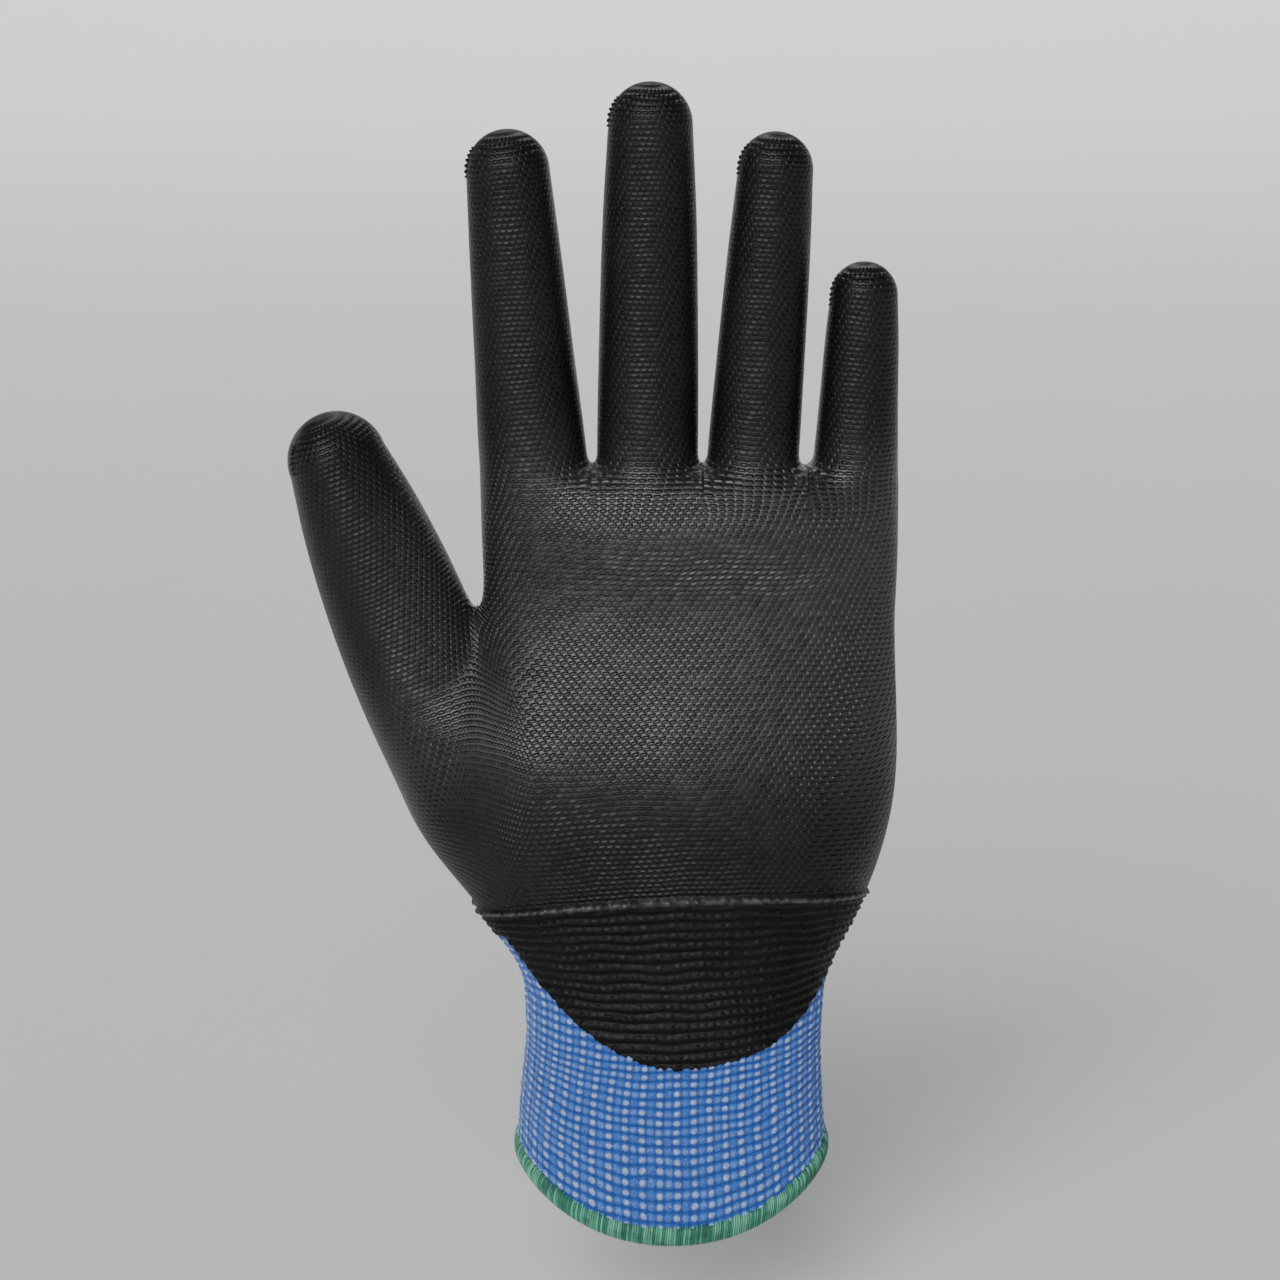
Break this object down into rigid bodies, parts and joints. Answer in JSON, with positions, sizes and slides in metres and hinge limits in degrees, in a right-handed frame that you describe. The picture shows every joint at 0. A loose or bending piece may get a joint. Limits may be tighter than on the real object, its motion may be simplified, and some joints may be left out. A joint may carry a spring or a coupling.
{
  "type": "cut resistant glove",
  "caption": "Left-hand knitted work glove with a coated palm and fingertips, elasticated knit cuff and overlocked hem, open and shaped as worn.",
  "frame": {"origin": "centre of the cuff's mouth, where the hand goes in, level with the hem's lowest points", "axes": "+Z from the cuff's mouth to the fingertips, -Y out of the palm, -X towards the thumb"},
  "size_m": [0.1311, 0.0486, 0.25],
  "materials": {
    "knit": "blue yarn knitted with a white marl yarn, matte",
    "coating": "thin black polyurethane with the knit showing through, satin",
    "coated_knit": "knit soaked with black polyurethane, satin",
    "hem_thread": "green overlock thread, matte",
    "elastic": "covered elastic thread laid into the cuff's knit",
    "stitching": "knotted yarn ends under the black coating"
  },
  "bodies": {
    "palm": {"palm_liner": "knit", "palm_coating": "coating", "crotch_tacks": "stitching", "wrist_band": "knit", "wrist_band_coating": "coating", "index_proximal_crease": "coated_knit", "middle_proximal_crease": "coated_knit", "ring_proximal_crease": "coated_knit", "little_proximal_crease": "coated_knit", "thumb_proximal_crease": "coated_knit"},
    "cuff": {"cuff_liner": "knit", "cuff_dip_edge": "coating", "cuff_elastic_threads": "elastic", "hem_overlock_thread": "hem_thread"},
    "index_proximal": {"index_proximal_liner": "knit", "index_proximal_coating": "coating", "index_middle_crease": "coated_knit"},
    "index_middle": {"index_middle_liner": "knit", "index_middle_coating": "coating", "index_tip_crease": "coated_knit"},
    "index_tip": {"index_tip_liner": "knit", "index_tip_coating": "coating", "index_closing_knot": "stitching"},
    "middle_proximal": {"middle_proximal_liner": "knit", "middle_proximal_coating": "coating", "middle_middle_crease": "coated_knit"},
    "middle_middle": {"middle_middle_liner": "knit", "middle_middle_coating": "coating", "middle_tip_crease": "coated_knit"},
    "middle_tip": {"middle_tip_liner": "knit", "middle_tip_coating": "coating", "middle_closing_knot": "stitching"},
    "ring_proximal": {"ring_proximal_liner": "knit", "ring_proximal_coating": "coating", "ring_middle_crease": "coated_knit"},
    "ring_middle": {"ring_middle_liner": "knit", "ring_middle_coating": "coating", "ring_tip_crease": "coated_knit"},
    "ring_tip": {"ring_tip_liner": "knit", "ring_tip_coating": "coating", "ring_closing_knot": "stitching"},
    "little_proximal": {"little_proximal_liner": "knit", "little_proximal_coating": "coating", "little_middle_crease": "coated_knit"},
    "little_middle": {"little_middle_liner": "knit", "little_middle_coating": "coating", "little_tip_crease": "coated_knit"},
    "little_tip": {"little_tip_liner": "knit", "little_tip_coating": "coating", "little_closing_knot": "stitching"},
    "thumb_proximal": {"thumb_proximal_liner": "knit", "thumb_proximal_coating": "coating", "thumb_tip_crease": "coated_knit"},
    "thumb_tip": {"thumb_tip_liner": "knit", "thumb_tip_coating": "coating", "thumb_closing_knot": "stitching"}
  },
  "joints": [
    {"name": "wrist", "type": "hinge", "parent": "palm", "child": "cuff", "pos_m": [0, 0, 0.058], "axis": [1, 0, 0], "range_deg": [-45, 45], "stiffness_Nm_per_rad": 0.02, "deforming": ["wrist_band", "wrist_band_coating"]},
    {"name": "index_base", "type": "hinge", "parent": "palm", "child": "index_proximal", "pos_m": [-0.03049, -0.00269, 0.17614], "axis": [0.9968, 0, 0.0797], "range_deg": [0, 45], "stiffness_Nm_per_rad": 0.008, "deforming": ["index_proximal_crease"]},
    {"name": "index_middle", "type": "hinge", "parent": "index_proximal", "child": "index_middle", "pos_m": [-0.03193, -0.00352, 0.19415], "axis": [0.9968, 0, 0.0797], "range_deg": [0, 90], "stiffness_Nm_per_rad": 0.005, "deforming": ["index_middle_crease"]},
    {"name": "index_end", "type": "hinge", "parent": "index_middle", "child": "index_tip", "pos_m": [-0.03361, -0.00444, 0.21516], "axis": [0.9968, 0, 0.0797], "range_deg": [0, 55], "stiffness_Nm_per_rad": 0.003, "deforming": ["index_tip_crease"]},
    {"name": "middle_base", "type": "hinge", "parent": "palm", "child": "middle_proximal", "pos_m": [-0.00522, -0.00261, 0.17691], "axis": [1, 0, -0.0085], "range_deg": [0, 45], "stiffness_Nm_per_rad": 0.008, "deforming": ["middle_proximal_crease"]},
    {"name": "middle_middle", "type": "hinge", "parent": "middle_proximal", "child": "middle_middle", "pos_m": [-0.00504, -0.00348, 0.19824], "axis": [1, 0, -0.0085], "range_deg": [0, 90], "stiffness_Nm_per_rad": 0.005, "deforming": ["middle_middle_crease"]},
    {"name": "middle_end", "type": "hinge", "parent": "middle_middle", "child": "middle_tip", "pos_m": [-0.00484, -0.00444, 0.22203], "axis": [1, 0, -0.0085], "range_deg": [0, 55], "stiffness_Nm_per_rad": 0.003, "deforming": ["middle_tip_crease"]},
    {"name": "ring_base", "type": "hinge", "parent": "palm", "child": "ring_proximal", "pos_m": [0.01782, -0.00251, 0.17471], "axis": [0.9975, 0, -0.0706], "range_deg": [0, 45], "stiffness_Nm_per_rad": 0.008, "deforming": ["ring_proximal_crease"]},
    {"name": "ring_middle", "type": "hinge", "parent": "ring_proximal", "child": "ring_middle", "pos_m": [0.01912, -0.00334, 0.19309], "axis": [0.9975, 0, -0.0706], "range_deg": [0, 90], "stiffness_Nm_per_rad": 0.005, "deforming": ["ring_middle_crease"]},
    {"name": "ring_end", "type": "hinge", "parent": "ring_middle", "child": "ring_tip", "pos_m": [0.02063, -0.0043, 0.21442], "axis": [0.9975, 0, -0.0706], "range_deg": [0, 55], "stiffness_Nm_per_rad": 0.003, "deforming": ["ring_tip_crease"]},
    {"name": "little_base", "type": "hinge", "parent": "palm", "child": "little_proximal", "pos_m": [0.03968, -0.00226, 0.17048], "axis": [0.9993, 0, -0.0367], "range_deg": [0, 40], "stiffness_Nm_per_rad": 0.008, "deforming": ["little_proximal_crease"]},
    {"name": "little_middle", "type": "hinge", "parent": "little_proximal", "child": "little_middle", "pos_m": [0.04014, -0.0029, 0.18323], "axis": [0.9993, 0, -0.0367], "range_deg": [0, 80], "stiffness_Nm_per_rad": 0.005, "deforming": ["little_middle_crease"]},
    {"name": "little_end", "type": "hinge", "parent": "little_middle", "child": "little_tip", "pos_m": [0.04064, -0.00357, 0.19672], "axis": [0.9993, 0, -0.0367], "range_deg": [0, 50], "stiffness_Nm_per_rad": 0.003, "deforming": ["little_tip_crease"]},
    {"name": "thumb_base", "type": "hinge", "parent": "palm", "child": "thumb_proximal", "pos_m": [-0.05887, -0.00526, 0.13811], "axis": [0.8648, 0.3498, 0.3602], "range_deg": [0, 40], "stiffness_Nm_per_rad": 0.008, "deforming": ["thumb_proximal_crease"]},
    {"name": "thumb_end", "type": "hinge", "parent": "thumb_proximal", "child": "thumb_tip", "pos_m": [-0.06686, -0.00713, 0.1591], "axis": [0.8648, 0.3498, 0.3602], "range_deg": [0, 70], "stiffness_Nm_per_rad": 0.003, "deforming": ["thumb_tip_crease"]}
  ]
}
